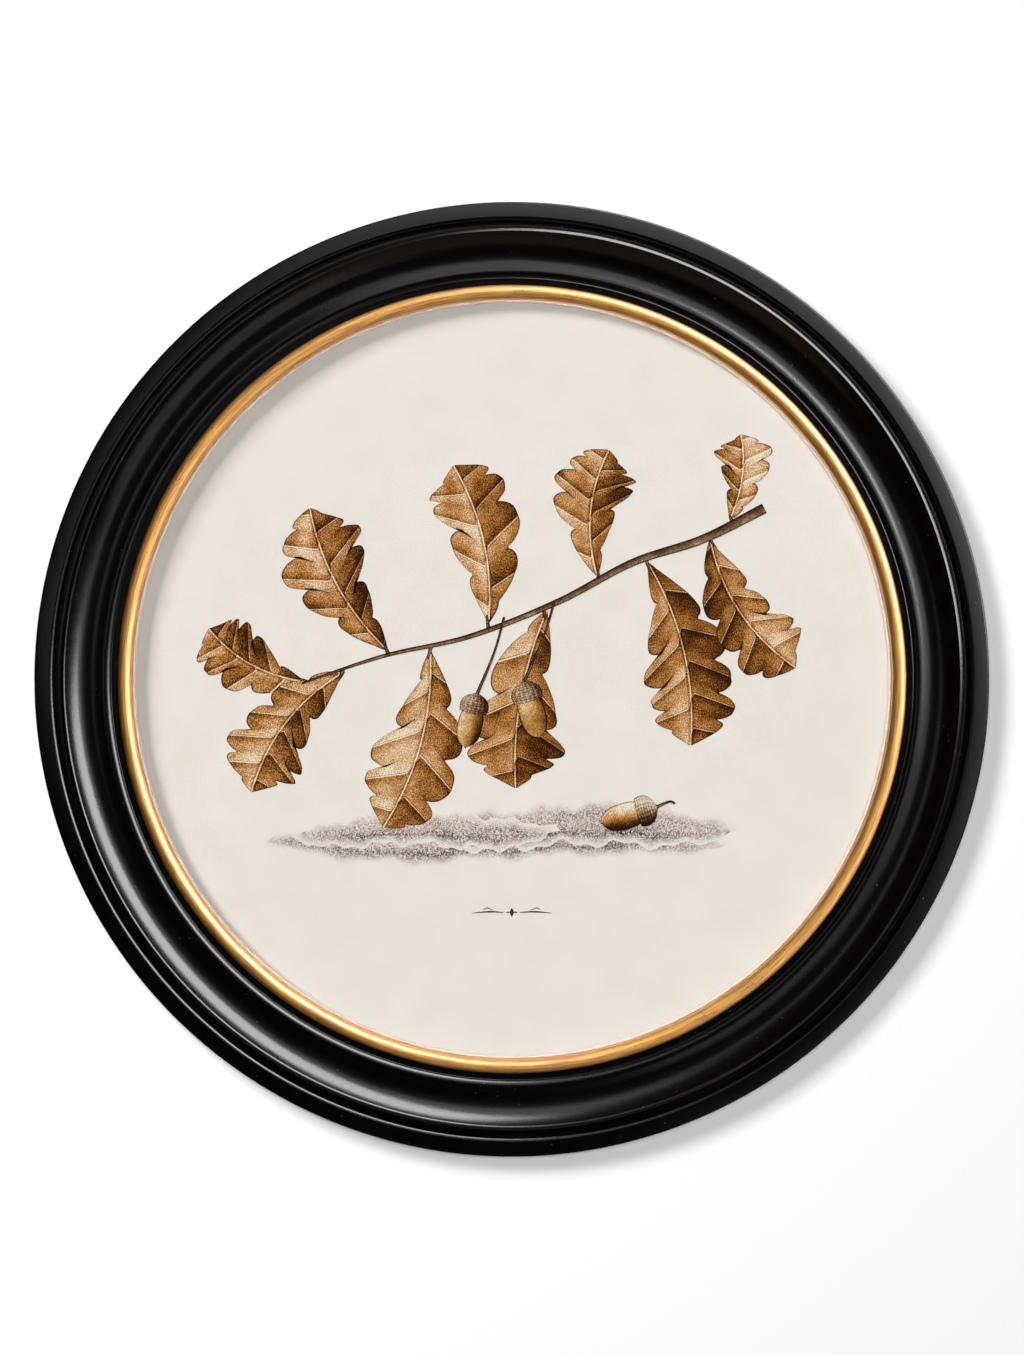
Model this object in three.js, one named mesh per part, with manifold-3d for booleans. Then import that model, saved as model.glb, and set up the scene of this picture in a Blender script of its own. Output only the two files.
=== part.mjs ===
// Round framed print: a black scooped wooden moulding with a gilt sight bead, glazing, an aged
// paper print, a backing board held by framer's points, and a sawtooth hanger with two bumpers.
// Millimetres, +Z up. The picture faces -Y and hangs on a wall in the plane y = 0. The origin is
// the middle of the hanger bar's rear face. Sections are drawn as (r, h): r is the distance from
// the ring's axis, and h is the distance out from the wall, so a point lies at y = -h.
import * as THREE from 'three';
import { mergeVertices } from 'three/addons/utils/BufferGeometryUtils.js';
import Module from 'manifold-3d';

const wasm = await Module();
wasm.setup();

// ---- driving dimensions ------------------------------------------------------------------
const OUTER_RADIUS = 245;        // outside of the moulding
const SIGHT_RADIUS = 193.6;      // inner edge of the gilt slip, where the picture shows
const FRAME_DEPTH = 24;          // wall to the crest of the ridge
const WALL_GAP = 2.5;            // wall to the back of the moulding, filled by the bumpers
const SEGMENTS = 72;             // facets round each ring
const GAP = 0.3;                 // clearance where pieces rest on each other

// Moulding, from the outside inwards
const OUTER_ROUND = 1;           // radius of the outermost front edge
const BACK_CHAMFER = 0.8;
const BAND_TILT = 7.5;           // degrees that the outer band leans outwards
const BAND_INNER_RADIUS = 237.5; // where the band turns over into the groove
const BAND_DROP = 2;             // band's inner edge below the ridge
const GROOVE_RADIUS = 235;       // outer wall of the groove
const GROOVE_HEIGHT = 17.4;      // floor of the groove, out from the wall
const FILLET_RADIUS = 233.6;     // small square step beside the ridge
const FILLET_HEIGHT = 18.6;
const RIDGE_RADIUS = 229.85;     // crest of the ridge

// Curves that run on from each other: [radius, slope where it ends, steps]. Hollow ones have a
// negative radius.
const OVOLO = [[1, -8, 1], [3.2, -56, 2]];
const RIDGE = [[0.3, 30, 1], [11, 24, 1], [0.3, -20, 1], [2.8, -44, 2]];
const SCOOP = [[-21.9, -25, 3], [-15.3, -5, 2], [-12.7, 9, 2], [-24.2, 16.5, 1]];
const LIP = [[12, 9, 1], [4.3, -40, 4], [-0.2, 45, 1], [0.4, -90, 1]];
const REBATE_RADIUS = 210;       // recess that takes slip, glass, print and board
const SHOULDER_HEIGHT = 17.3;    // its floor, against which the slip rests

// Gilt slip, under the moulding's lip
const FLANGE = 2.8;
const BEAD = 3.5;                // half-round bead
const BEAD_RADIUS = 199.2;       // crest of the bead
const BEAD_FOOT_TILT = 80;       // slope at the bead's inner foot
const SIGHT_BEVEL = { width: 1.1, rise: 0.85, quirk: 0.3 }; // bevelled edge inside the bead

// Picture package
const GLASS = 2;
const PRINT = 0.5;
const BOARD = 3;
const PACK_CLEARANCE = 0.7;      // radial play of glass, print and board in the rebate

// Framer's points
const POINTS = 12;
const POINT = { width: 8, thick: 0.5, reach: 10, driven: 4 };

// Hanger and bumpers
const HANGER = { length: 46, width: 9, thick: 0.9, bar: 26, ramp: 2, teeth: 11, pitch: 2, notch: 1.6 };
const HANG_RADIUS = 226;         // hanger above the ring's axis
const NAIL = { spread: 18.5, head: 2.1, dome: 0.7, shank: 0.7, length: 8 };
const BUMPERS = { angle: 32, radius: 227, foot: 6, top: 4.6 };

// ---- finishes ----------------------------------------------------------------------------
const finish = (color, roughness, metalness = 0, extra = {}) =>
  new THREE.MeshStandardMaterial({ color, roughness, metalness, ...extra });
const FINISHES = {
  black: () => finish('#151413', 0.42),
  gilt: () => finish('#cf9638', 0.35, 0.3),
  glass: () => finish('#f4f7f6', 0.03, 0, { transparent: true, opacity: 0.12 }),
  paper: () => finish('#e6dfd6', 0.9),
  board: () => finish('#8a6a48', 0.85),
  steel: () => finish('#b9bbbd', 0.35, 1),
  rubber: () => finish('#1c1c1c', 0.8),
};

// ---- section helpers ---------------------------------------------------------------------
const rad = THREE.MathUtils.degToRad;

// The direction that a surface faces: straight out from the wall at 0, outwards from the axis at
// +90 and towards the axis at -90.
const facing = (tilt) => new THREE.Vector2(Math.sin(rad(tilt)), Math.cos(rad(tilt)));

// Points of an arc between two tilts. A positive radius is convex and a negative one is hollow.
function arc(centre, radius, from, to, steps) {
  return Array.from({ length: steps + 1 }, (_, i) =>
    centre.clone().addScaledVector(facing(from + ((to - from) * i) / steps), radius));
}

const at = (r, h) => new THREE.Vector2(r, h);

// Arcs joined along their slopes: each starts where the last one ended, so that its centre is that
// point less its radius along the way the surface faces there.
function runOfArcs(start, startTilt, arcs) {
  const points = [start];
  let tilt = startTilt;
  for (const [radius, endTilt, steps] of arcs) {
    const centre = points.at(-1).clone().addScaledVector(facing(tilt), -radius);
    points.push(...arc(centre, radius, tilt, endTilt, steps).slice(1));
    tilt = endTilt;
  }
  return points;
}

// A closed (r, h) section, listed from the back round the outside, carried round the Y axis.
function ring(section) {
  const profile = [...section, section[0]].map((p) => at(p.x, -p.y)).reverse();
  return new THREE.LatheGeometry(profile, SEGMENTS);
}

// A flat round piece between two heights.
function disc(radius, back, front) {
  const profile = [at(0, -front), at(radius, -front), at(radius, -back), at(0, -back)];
  return new THREE.LatheGeometry(profile, SEGMENTS);
}

// ---- solids for cutting ------------------------------------------------------------------
function toSolid(geometry) {
  const bare = geometry.clone();
  bare.deleteAttribute('normal');
  bare.deleteAttribute('uv');
  const merged = mergeVertices(bare, 1e-4);
  return new wasm.Manifold(new wasm.Mesh({
    numProp: 3,
    vertProperties: new Float32Array(merged.attributes.position.array),
    triVerts: new Uint32Array(merged.index.array),
  }));
}

function toGeometry(solid) {
  const mesh = solid.getMesh();
  const geometry = new THREE.BufferGeometry();
  geometry.setAttribute('position', new THREE.BufferAttribute(mesh.vertProperties, 3));
  geometry.setIndex(new THREE.BufferAttribute(mesh.triVerts, 1));
  const shaded = geometry.toNonIndexed();
  shaded.computeVertexNormals();
  return shaded;
}

// ---- heights of the stacked pieces -------------------------------------------------------
const flangeTop = SHOULDER_HEIGHT - GAP;
const flangeBack = flangeTop - FLANGE;
const glassFront = flangeBack - GAP;
const glassBack = glassFront - GLASS;
const printFront = glassBack - GAP;
const printBack = printFront - PRINT;
const boardFront = printBack - GAP;
const boardBack = boardFront - BOARD;
const pointFront = boardBack - GAP;
const pointBack = pointFront - POINT.thick;
const packRadius = REBATE_RADIUS - PACK_CLEARANCE;

// ---- pieces ------------------------------------------------------------------------------
// Outer edge, sloping band, ovolo, groove, fillet, ridge, scoop and lip.
function mouldingSection() {
  const bandInner = at(BAND_INNER_RADIUS, FRAME_DEPTH - BAND_DROP);
  const bandOuter = OUTER_RADIUS - OUTER_ROUND;
  const bandFall = (bandOuter - BAND_INNER_RADIUS) * Math.tan(rad(BAND_TILT));
  const outerCentre = at(bandOuter, bandInner.y - bandFall - OUTER_ROUND);
  const ridgeToLip = runOfArcs(at(0, 0), 90, [...RIDGE, ...SCOOP, ...LIP]);
  const crest = ridgeToLip.reduce((a, b) => (b.y > a.y ? b : a)).clone();
  for (const point of ridgeToLip) point.sub(crest).add(at(RIDGE_RADIUS, FRAME_DEPTH));
  return [
    at(OUTER_RADIUS - BACK_CHAMFER, WALL_GAP),
    at(OUTER_RADIUS, WALL_GAP + BACK_CHAMFER),
    ...arc(outerCentre, OUTER_ROUND, 90, BAND_TILT, 1),
    ...runOfArcs(bandInner, BAND_TILT, OVOLO),
    at(GROOVE_RADIUS, GROOVE_HEIGHT),
    at(FILLET_RADIUS, GROOVE_HEIGHT),
    at(FILLET_RADIUS, FILLET_HEIGHT),
    at(ridgeToLip[0].x, FILLET_HEIGHT),
    ...ridgeToLip,
    at(ridgeToLip.at(-1).x, SHOULDER_HEIGHT),
    at(REBATE_RADIUS, SHOULDER_HEIGHT),
    at(REBATE_RADIUS, WALL_GAP),
  ];
}

// A flat flange with a half-round bead and a narrow bevel at the sight edge.
function slipSection() {
  const beadCentre = at(BEAD_RADIUS, flangeTop);
  return [
    at(packRadius, flangeBack),
    at(packRadius, flangeTop),
    ...arc(beadCentre, BEAD, 90, -BEAD_FOOT_TILT, 8),
    at(SIGHT_RADIUS + SIGHT_BEVEL.width + SIGHT_BEVEL.quirk, flangeTop + SIGHT_BEVEL.quirk),
    at(SIGHT_RADIUS + SIGHT_BEVEL.width, flangeTop + SIGHT_BEVEL.rise),
    at(SIGHT_RADIUS, flangeTop),
    at(SIGHT_RADIUS, flangeBack),
  ];
}

// A slim cylinder along Y between two heights, for shanks and the holes that take them.
function pin(radius, back, front, x, z) {
  const geometry = new THREE.CylinderGeometry(radius, radius, front - back, 12);
  return geometry.translate(x, -(front + back) / 2, z);
}

// A tongue of strip steel lying across the rebate, grown by `play` where it cuts its own slot.
function pointBlade(play = 0) {
  const outline = new THREE.Shape();
  const half = POINT.width / 2 + play;
  const nose = POINT.reach - half;
  outline.moveTo(-half, POINT.driven + play);
  outline.lineTo(-half, -nose);
  outline.absarc(0, -nose, half, Math.PI, 2 * Math.PI, false);
  outline.lineTo(half, POINT.driven + play);
  const depth = POINT.thick + 2 * play;
  const blade = new THREE.ExtrudeGeometry(outline, { depth, bevelEnabled: false, curveSegments: 4 });
  // Drawn flat in XY; turned so that its thickness runs along Y and its nose points down.
  return blade.rotateX(Math.PI / 2).translate(0, -(pointBack - play), 0);
}

// The blade moved out to the rebate wall, at an angle from straight up.
function placedPoint(angle, play = 0) {
  const blade = pointBlade(play);
  return blade.translate(0, 0, REBATE_RADIUS).rotateY(angle);
}

const pointAngles = Array.from({ length: POINTS }, (_, i) => (2 * Math.PI * (i + 0.5)) / POINTS);
const nailSides = [-1, 1];

function moulding() {
  let solid = toSolid(ring(mouldingSection()));
  for (const angle of pointAngles) solid = solid.subtract(toSolid(placedPoint(angle, GAP)));
  for (const side of nailSides) {
    const depth = WALL_GAP + NAIL.length + GAP;
    const hole = pin(NAIL.shank + GAP, WALL_GAP - 1, depth, side * NAIL.spread, HANG_RADIUS);
    solid = solid.subtract(toSolid(hole));
  }
  return toGeometry(solid);
}

// A strip whose middle stands off the moulding, with notches along its lower edge. The bent side
// view and the notched front view are extruded across each other and the overlap is kept.
function hanger() {
  const half = HANGER.length / 2;
  const bar = HANGER.bar / 2;
  const foot = WALL_GAP - GAP;
  const bent = new THREE.Shape([
    at(-half, -foot), at(-bar - HANGER.ramp, -foot), at(-bar, -HANGER.thick),
    at(bar, -HANGER.thick), at(bar + HANGER.ramp, -foot), at(half, -foot),
    at(half, HANGER.thick - foot), at(bar + HANGER.ramp, HANGER.thick - foot), at(bar, 0),
    at(-bar, 0), at(-bar - HANGER.ramp, HANGER.thick - foot), at(-half, HANGER.thick - foot),
  ]);
  const strip = new THREE.ExtrudeGeometry(bent, { depth: HANGER.width, bevelEnabled: false });
  strip.translate(0, 0, -HANGER.width / 2);

  const end = HANGER.width / 2;
  const front = new THREE.Shape();
  front.moveTo(half - end, end);
  front.absarc(-(half - end), 0, end, Math.PI / 2, 1.5 * Math.PI, false);
  const firstTooth = (-HANGER.teeth * HANGER.pitch) / 2;
  for (let i = 0; i < HANGER.teeth; i += 1) {
    const x = firstTooth + i * HANGER.pitch;
    front.lineTo(x, -end);
    front.lineTo(x + HANGER.pitch / 2, -end + HANGER.notch);
  }
  front.lineTo(-firstTooth, -end);
  front.absarc(half - end, 0, end, -Math.PI / 2, Math.PI / 2, false);
  const depth = FRAME_DEPTH;
  const cutter = new THREE.ExtrudeGeometry(front, { depth, bevelEnabled: false, curveSegments: 8 });
  cutter.translate(0, 0, -depth / 2).rotateX(Math.PI / 2);

  let solid = toSolid(strip).intersect(toSolid(cutter));
  for (const side of nailSides) {
    const hole = pin(NAIL.shank + GAP, -1, FRAME_DEPTH, side * NAIL.spread, 0);
    solid = solid.subtract(toSolid(hole));
  }
  return toGeometry(solid);
}

// A round-headed nail: shank in the wood, low dome over the hanger's end.
function nail() {
  const seat = WALL_GAP - GAP - HANGER.thick - GAP;
  const tip = WALL_GAP + NAIL.length;
  return new THREE.LatheGeometry([
    at(0, -tip), at(NAIL.shank, -(tip - 1)), at(NAIL.shank, -seat), at(NAIL.head, -seat),
    at(NAIL.head * 0.72, -(seat - NAIL.dome * 0.7)), at(0, -(seat - NAIL.dome)),
  ], 12);
}

// A low rubber button stuck to the moulding's back and resting on the wall.
function bumper() {
  return new THREE.LatheGeometry([
    at(0, GAP - WALL_GAP), at(BUMPERS.foot, GAP - WALL_GAP),
    at(BUMPERS.foot * 0.97, -WALL_GAP * 0.4), at(BUMPERS.top, 0), at(0, 0),
  ], 20);
}

// ---- assembly ----------------------------------------------------------------------------
const print = new THREE.Group();

// Everything round the ring's axis hangs below the origin.
const round = new THREE.Group();
round.position.set(0, 0, -HANG_RADIUS);
print.add(round);

function piece(name, geometry, material, parent = round) {
  const mesh = new THREE.Mesh(geometry, material());
  mesh.name = name;
  parent.add(mesh);
  return mesh;
}

piece('frame_moulding', moulding(), FINISHES.black);
piece('gilt_slip', ring(slipSection()), FINISHES.gilt);
piece('glazing', disc(packRadius, glassBack, glassFront), FINISHES.glass);
piece('print_sheet', disc(packRadius, printBack, printFront), FINISHES.paper);
piece('backing_board', disc(packRadius, boardBack, boardFront), FINISHES.board);

pointAngles.forEach((angle, i) => {
  piece(`framers_point_${String(i + 1).padStart(2, '0')}`, placedPoint(angle), FINISHES.steel);
});

piece('hanger_plate', hanger(), FINISHES.steel, print);
for (const side of nailSides) {
  const name = side < 0 ? 'hanger_nail_left' : 'hanger_nail_right';
  piece(name, nail(), FINISHES.steel, print).position.set(side * NAIL.spread, 0, 0);
}
for (const side of nailSides) {
  const angle = rad(180 - side * BUMPERS.angle);
  const name = side < 0 ? 'bumper_left' : 'bumper_right';
  piece(name, bumper(), FINISHES.rubber).position
    .set(BUMPERS.radius * Math.sin(angle), 0, BUMPERS.radius * Math.cos(angle));
}

export default print;
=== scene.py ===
"""A round framed print: satin black scooped moulding, gilt sight bead, glazing, an aged
paper print of an oak sprig, hardboard back, framer's points, sawtooth hanger and bumpers.

Metres, +Z up. The picture faces -Y and the wall is the plane y = 0. Ring sections are drawn as
(r, h) in millimetres: r from the ring's axis and h out from the wall.
"""

import bpy
import numpy as np
from mathutils import Matrix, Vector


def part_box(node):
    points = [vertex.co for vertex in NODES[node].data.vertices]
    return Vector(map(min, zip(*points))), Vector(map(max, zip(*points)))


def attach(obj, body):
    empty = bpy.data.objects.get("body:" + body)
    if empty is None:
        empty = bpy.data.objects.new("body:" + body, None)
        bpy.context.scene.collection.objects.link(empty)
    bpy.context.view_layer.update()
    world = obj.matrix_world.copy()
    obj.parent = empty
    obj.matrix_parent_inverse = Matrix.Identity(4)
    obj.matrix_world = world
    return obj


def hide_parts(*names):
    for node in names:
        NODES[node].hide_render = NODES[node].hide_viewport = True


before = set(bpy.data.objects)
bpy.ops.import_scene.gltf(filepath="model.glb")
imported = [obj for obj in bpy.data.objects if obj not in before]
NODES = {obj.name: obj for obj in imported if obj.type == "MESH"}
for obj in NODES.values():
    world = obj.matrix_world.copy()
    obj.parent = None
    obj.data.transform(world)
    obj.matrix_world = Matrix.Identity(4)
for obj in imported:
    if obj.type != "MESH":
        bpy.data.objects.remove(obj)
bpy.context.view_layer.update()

MM = 0.001

# ---- places read from the frame ------------------------------------------------------------
ring_low, ring_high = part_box("frame_moulding")
slip_low, slip_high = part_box("gilt_slip")
print_low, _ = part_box("print_sheet")
OUTER = (ring_high.x - ring_low.x) / 2 / MM
AXIS_Z = (ring_high.z + ring_low.z) / 2
DEPTH = -ring_low.y / MM
BACK = -ring_high.y / MM
FLANGE_BACK = -slip_high.y / MM
PACK_RADIUS = (slip_high.x - slip_low.x) / 2 / MM
PRINT_FACE = print_low.y


# ---- camera --------------------------------------------------------------------------------
CAMERA_AWAY = 2.4
CAMERA_RIGHT, CAMERA_UP = 0.0001, 0.0009  # off the ring's axis
SENSOR = 36.0
HALF_HEIGHT = 1.4195 * OUTER * MM  # half of the view's height at the frame
VIEW_OUT = 0.8 * DEPTH * MM  # how far out from the wall that height is taken

camera_data = bpy.data.cameras.new("camera")
camera_data.sensor_width = SENSOR
camera_data.lens = SENSOR / 2 * (CAMERA_AWAY - VIEW_OUT) / HALF_HEIGHT
camera = bpy.data.objects.new("camera", camera_data)
camera.location = (CAMERA_RIGHT, -CAMERA_AWAY, AXIS_Z + CAMERA_UP)
camera.rotation_euler = (np.pi / 2, 0, 0)
bpy.context.scene.collection.objects.link(camera)
bpy.context.scene.camera = camera


# ---- colour --------------------------------------------------------------------------------
def linear(code, alpha=1.0):
    """The linear colour of an sRGB hex code: the lower part of the curve is a straight line."""
    s = np.array([int(code[i : i + 2], 16) for i in (1, 3, 5)]) / 255
    value = np.where(s <= 0.04045, s / 12.92, ((s + 0.055) / 1.055) ** 2.4)
    return (*value.tolist(), alpha)


# ---- section helpers -----------------------------------------------------------------------
def facing(tilt):
    """Unit (r, h) vectors: straight out from the wall at 0, away from the axis at +90 degrees."""
    t = np.radians(np.atleast_1d(tilt))
    return np.stack([np.sin(t), np.cos(t)], 1)


def arc(centre, radius, start, stop, steps):
    """Points at centre + radius * facing(tilt); a negative radius gives a hollow arc."""
    return np.asarray(centre) + radius * facing(np.linspace(start, stop, steps + 1))


def run_of_arcs(start, tilt, arcs):
    """Arcs joined along their slopes: each (radius, end tilt, steps) starts where the last
    ended, with its centre at that point minus radius * facing(tilt)."""
    path = [np.asarray(start, float).reshape(1, 2)]
    for radius, end, steps in arcs:
        centre = path[-1][-1] - radius * facing(tilt)[0]
        path.append(arc(centre, radius, tilt, end, steps)[1:])
        tilt = end
    return np.concatenate(path)


# ---- meshes --------------------------------------------------------------------------------
def new_piece(name, verts, faces, uv=None, smooth=40):
    """A mesh object from whole arrays of points, four-sided faces and per-corner UVs."""
    mesh = bpy.data.meshes.new(name)
    mesh.vertices.add(len(verts))
    mesh.vertices.foreach_set("co", np.asarray(verts, np.float32).ravel())
    faces = np.asarray(faces, np.int32)
    mesh.loops.add(faces.size)
    mesh.loops.foreach_set("vertex_index", faces.ravel())
    mesh.polygons.add(len(faces))
    mesh.polygons.foreach_set("loop_start", np.arange(0, faces.size, faces.shape[1], dtype=np.int32))
    mesh.update(calc_edges=True)
    if uv is not None:
        layer = mesh.uv_layers.new(name="UVMap")
        layer.data.foreach_set("uv", np.asarray(uv, np.float32).reshape(-1, 2).ravel())
    mesh.shade_smooth()
    if smooth:
        mesh.set_sharp_from_angle(angle=np.radians(smooth))
    piece = bpy.data.objects.new(name, mesh)
    bpy.context.scene.collection.objects.link(piece)
    return piece


def per_point(piece, name, values):
    """Stores one number for each point of a piece."""
    layer = piece.data.attributes.new(name, "FLOAT", "POINT")
    layer.data.foreach_set("value", np.asarray(values, np.float32).ravel())


RING_STEPS = 360
GLUED_BLOCKS = 12
BLOCK_LENGTH = 137.0  # moves each block on along the grain, so that no two look alike


def turned_ring(name, section, **numbers):
    """A closed (r, h) section turned about the ring's axis: point (r, h) at angle a goes to
    (r sin a, -h, r cos a). The UVs are millimetres along and across the straight grain of the
    glued blocks, so each block keeps its own direction. `numbers` are stored at the section's
    points, all the way round."""
    r, h = np.asarray(section, float).T
    n = len(r)
    step = 2 * np.pi / RING_STEPS
    a = np.arange(RING_STEPS) * step
    x = np.outer(np.sin(a), r)
    z = np.outer(np.cos(a), r)
    y = np.broadcast_to(-h, x.shape)
    verts = np.stack([x * MM, y * MM, z * MM + AXIS_Z], 2).reshape(-1, 3)
    i, j = np.meshgrid(np.arange(RING_STEPS), np.arange(n), indexing="ij")
    i2, j2 = (i + 1) % RING_STEPS, (j + 1) % n
    faces = np.stack([i * n + j, i2 * n + j, i2 * n + j2, i * n + j2], 2).reshape(-1, 4)
    width = 2 * np.pi / GLUED_BLOCKS
    block = np.floor((a + step / 2) / width)
    middle = ((block + 0.5) * width)[:, None]
    corners_a = np.stack([a, a + step, a + step, a], 1)[:, None, :] - middle[:, :, None]
    corners_r = np.stack([r, r, np.roll(r, -1), np.roll(r, -1)], 1)[None]
    along = corners_r * np.sin(corners_a) + block[:, None, None] * BLOCK_LENGTH
    across = corners_r * np.cos(corners_a)
    piece = new_piece(name, verts, faces, np.stack([along, across], 3))
    for key, value in numbers.items():
        per_point(piece, key, np.tile(value, RING_STEPS))
    return piece


# ---- moulding ------------------------------------------------------------------------------
BAND_TILT, BAND_DROP, OUTER_ROUND = 7.0, 2.0, 1.0
BAND_IN, GROOVE_IN, FILLET_IN, RIDGE_IN = 7.5, 10.0, 11.4, 15.15  # in from the outer edge
GROOVE_DROP, FILLET_DROP = 6.6, 5.4  # below the ridge
OVOLO = [(1, -8, 5), (3.2, -56, 16)]
RIDGE = [(0.3, 30, 4), (14, 24, 8), (0.3, -20, 6), (2.8, -44, 8)]
SCOOP = [(-21.9, -25, 14), (-15.3, -5, 14), (-12.7, 9, 10), (-24.2, 16.5, 6)]
LIP = [(12, 9, 6), (4.3, -40, 18), (-0.2, 45, 6), (0.4, -90, 8)]
SLIP_FLANGE, RESTING_GAP = 2.8, 0.3
PACK_PLAY = 0.7  # between the glass and the rebate's wall
BACK_CHAMFER, FILLET_ROUND = 0.8, 0.5


def moulding_section():
    """Outer edge, sloping band, quarter round, groove, fillet, ridge, scoop, lip and quirk, each
    joined to the next along its own slope, with small radii on the arrises."""
    band_inner = np.array([OUTER - BAND_IN, DEPTH - BAND_DROP])
    band_outer_r = OUTER - OUTER_ROUND
    fall = (band_outer_r - band_inner[0]) * np.tan(np.radians(BAND_TILT))
    outer = np.array([band_outer_r, band_inner[1] - fall - OUTER_ROUND])
    ridge = run_of_arcs((0, 0), 90, RIDGE + SCOOP + LIP)
    ridge += np.array([OUTER - RIDGE_IN, DEPTH]) - ridge[np.argmax(ridge[:, 1])]
    groove_h, groove_r = DEPTH - GROOVE_DROP, OUTER - GROOVE_IN
    fillet_h, fillet_r = DEPTH - FILLET_DROP, OUTER - FILLET_IN
    rebate = PACK_RADIUS + PACK_PLAY
    shoulder = FLANGE_BACK + SLIP_FLANGE + RESTING_GAP
    return np.concatenate([
        [[OUTER - BACK_CHAMFER, BACK], [OUTER, BACK + BACK_CHAMFER]],
        arc(outer, OUTER_ROUND, 90, BAND_TILT, 8),
        run_of_arcs(band_inner, BAND_TILT, OVOLO),
        [[groove_r, groove_h], [fillet_r, groove_h]],
        arc([fillet_r - FILLET_ROUND, fillet_h - FILLET_ROUND], FILLET_ROUND, 90, 0, 6),
        [[ridge[0, 0], fillet_h]],
        ridge,
        [[ridge[-1, 0], shoulder], [rebate, shoulder], [rebate, BACK]],
    ])


# ---- gilt slip -----------------------------------------------------------------------------
BEAD, BEAD_IN, BEAD_FOOT_TILT = 3.5, 45.8, 80.0
BEAD_FOOT = OUTER - BEAD_IN - BEAD * np.sin(np.radians(BEAD_FOOT_TILT))
SIGHT_IN, EDGE_WIDTH, EDGE_RISE = 51.4, 1.1, 0.85
EDGE_ROUND, BEVEL_TILT, ARRIS = 0.2, -38, 0.3
FLANGE_TOP = FLANGE_BACK + SLIP_FLANGE
SEAM = 0.02  # between the gilt bead and the gesso edge


def flange_section():
    """The slip's plain flat flange, under the moulding's lip and out to its edge."""
    inner = OUTER - BEAD_IN + BEAD
    return np.array([
        [PACK_RADIUS, FLANGE_BACK], [PACK_RADIUS, FLANGE_TOP - ARRIS],
        [PACK_RADIUS - ARRIS, FLANGE_TOP], [inner + ARRIS, FLANGE_TOP],
        [inner, FLANGE_TOP - ARRIS], [inner, FLANGE_BACK]])


def bead_section():
    """A half-round bead of radius BEAD, from the flange to its inner foot."""
    bead = np.array([OUTER - BEAD_IN, FLANGE_TOP])
    return np.concatenate([
        [[bead[0] + BEAD, FLANGE_BACK]],
        arc(bead, BEAD, 90, -BEAD_FOOT_TILT, 44),
        [[BEAD_FOOT, FLANGE_BACK]],
    ])


def sight_edge_section():
    """The slip's inner edge: a shallow quirk beside the bead, then a bevel that falls towards
    the picture, with its arrises eased. Also says which points lie in the quirk."""
    sight = OUTER - SIGHT_IN
    foot = sight + EDGE_WIDTH
    quirk = np.array([[BEAD_FOOT - SEAM, FLANGE_BACK], [BEAD_FOOT - SEAM, FLANGE_TOP + 0.5],
                      [foot + 0.6, FLANGE_TOP + 0.35], [foot + 0.3, FLANGE_TOP + 0.2],
                      [foot + 0.05, FLANGE_TOP + 0.3]])
    crest = np.array([foot - EDGE_ROUND, FLANGE_TOP + EDGE_RISE - EDGE_ROUND])
    section = np.concatenate([
        quirk,
        arc(crest, EDGE_ROUND, 90, BEVEL_TILT, 8),
        arc([sight + EDGE_ROUND, FLANGE_TOP - 0.1], EDGE_ROUND, BEVEL_TILT, -90, 4),
        [[sight, FLANGE_BACK]],
    ])
    return section, np.arange(len(section)) < len(quirk)


def across_bead(section):
    """Distance in mm along the section from the bead's crest, positive towards the sight."""
    step = np.hypot(*np.diff(section, axis=0).T)
    along = np.concatenate([[0], np.cumsum(step)])
    return along - along[np.argmax(section[:, 1])]


# ---- materials -----------------------------------------------------------------------------
def material(name):
    """An empty node material with a Principled shader and an output."""
    m = bpy.data.materials.new(name)
    m.use_nodes = True
    tree = m.node_tree
    shader = tree.nodes["Principled BSDF"]
    return m, tree, shader


def node(tree, kind, settings=None, **links):
    """Adds a node: `settings` are its properties and socket values, `links` its inputs."""
    n = tree.nodes.new(kind)
    for key, value in (settings or {}).items():
        if isinstance(key, str) and hasattr(n, key):
            setattr(n, key, value)
        else:
            n.inputs[key].default_value = value
    for key, source in links.items():
        slot = key.replace("_", " ")
        tree.links.new(source, n.inputs[int(slot[1:]) if slot[1:].isdigit() else slot])
    return n


def reading(tree, name):
    """The number stored at each point of a piece under this name."""
    return node(tree, "ShaderNodeAttribute", {"attribute_name": name}).outputs["Fac"]


def calc(tree, kind, a, b, **more):
    """One arithmetic node; a and b are sockets or numbers."""
    n = node(tree, "ShaderNodeMath", {"operation": kind, **more})
    for slot, value in ((0, a), (1, b)):
        if isinstance(value, (int, float)):
            n.inputs[slot].default_value = value
        else:
            tree.links.new(value, n.inputs[slot])
    return n.outputs[0]


def between(tree, value, low, high, out_low=0.0, out_high=1.0):
    """Maps low..high to out_low..out_high and holds it there outside."""
    return node(tree, "ShaderNodeMapRange", {1: low, 2: high, 3: out_low, 4: out_high},
                _0=value).outputs[0]


def shades(tree, value, stops):
    """A colour from `stops`, pairs of place 0..1 and sRGB code."""
    ramp = node(tree, "ShaderNodeValToRGB", None, _0=value)
    elements = ramp.color_ramp.elements
    while len(elements) < len(stops):
        elements.new(0.5)
    for element, (where, code) in zip(elements, stops):
        element.position = where
        element.color = linear(code)
    return ramp.outputs[0]


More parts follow.
